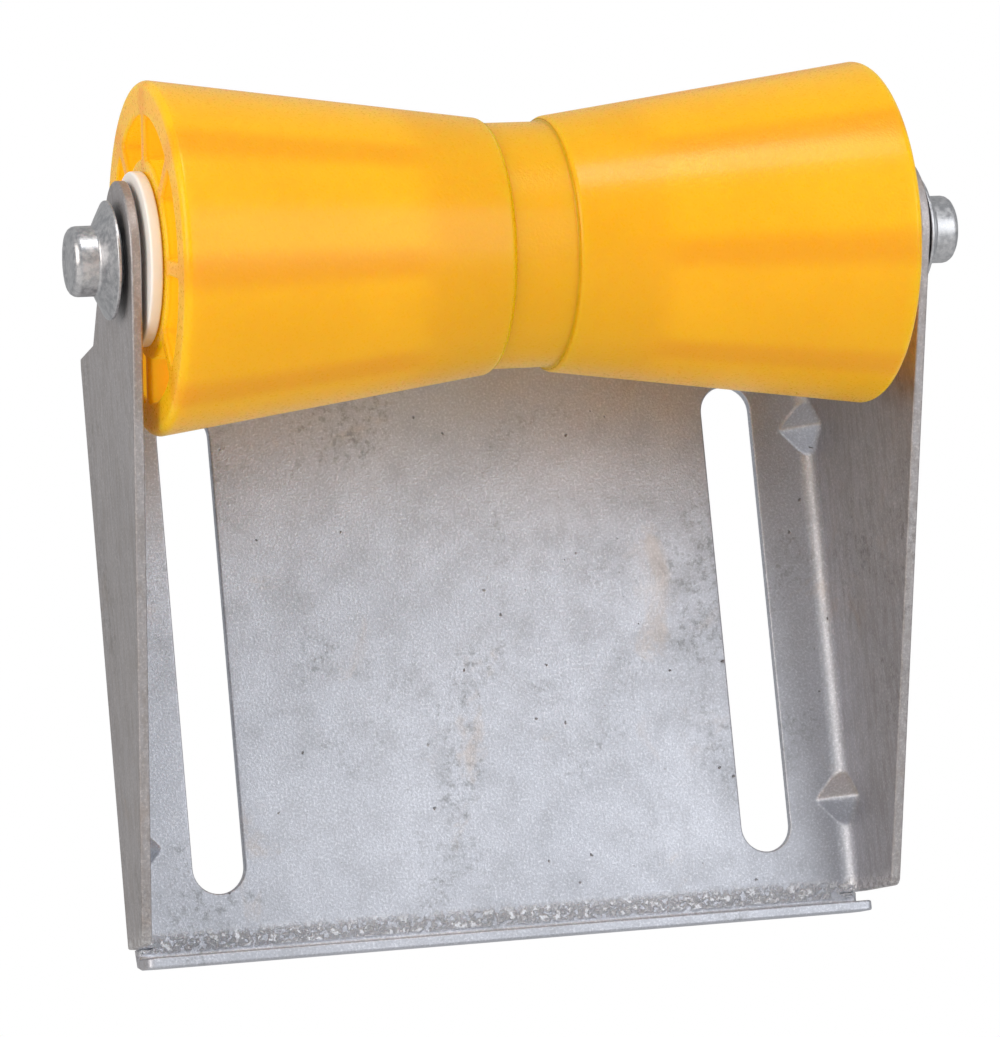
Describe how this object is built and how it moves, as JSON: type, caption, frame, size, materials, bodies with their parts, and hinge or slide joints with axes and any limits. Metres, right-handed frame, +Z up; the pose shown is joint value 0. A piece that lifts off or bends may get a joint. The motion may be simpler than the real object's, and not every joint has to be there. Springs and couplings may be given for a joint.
{
  "type": "bow roller",
  "caption": "Spool-shaped boat trailer bow roller on a capped shaft between the ears of a slotted, folded steel bracket.",
  "frame": {"origin": "centre of the back face of the bracket's plate, midway between the two bolt slots and level with their middles", "axes": "+X along the shaft, from the left ear to the right ear as seen from the roller's side; +Y out of the back face, toward the trailer; +Z up"},
  "size_m": [0.2356, 0.1169, 0.2186],
  "materials": {
    "galvanised_steel": "satin",
    "amber_elastomer": "satin",
    "white_nylon": "satin",
    "shaft_steel": "satin",
    "zinc_plated_steel": "gloss",
    "spring_steel": "satin"
  },
  "bodies": {
    "bracket": {"bracket": "galvanised_steel"},
    "axle": {"shaft": "shaft_steel", "cap_left": "zinc_plated_steel", "cap_right": "zinc_plated_steel", "lock_ring_left": "spring_steel", "lock_ring_right": "spring_steel"},
    "left_bushing": {"bushing_left": "white_nylon"},
    "right_bushing": {"bushing_right": "white_nylon"},
    "roller": {"roller": "amber_elastomer"}
  },
  "joints": [
    {"name": "axle_spin", "type": "hinge", "parent": "bracket", "child": "axle", "pos_m": [0, -0.0725, 0.092], "axis": [1, 0, 0], "continuous": true},
    {"name": "left_bushing_slide", "type": "slide", "parent": "axle", "child": "left_bushing", "axis": [1, 0, 0], "range_m": [-0.0001, 0.0051]},
    {"name": "right_bushing_slide", "type": "slide", "parent": "axle", "child": "right_bushing", "axis": [1, 0, 0], "range_m": [-0.0001, 0.0051]},
    {"name": "roller_spin", "type": "hinge", "parent": "left_bushing", "child": "roller", "pos_m": [0, -0.0725, 0.092], "axis": [1, 0, 0], "continuous": true}
  ],
  "couplings": [
    {"joint": "right_bushing_slide", "follows": "left_bushing_slide", "ratio": 1}
  ]
}
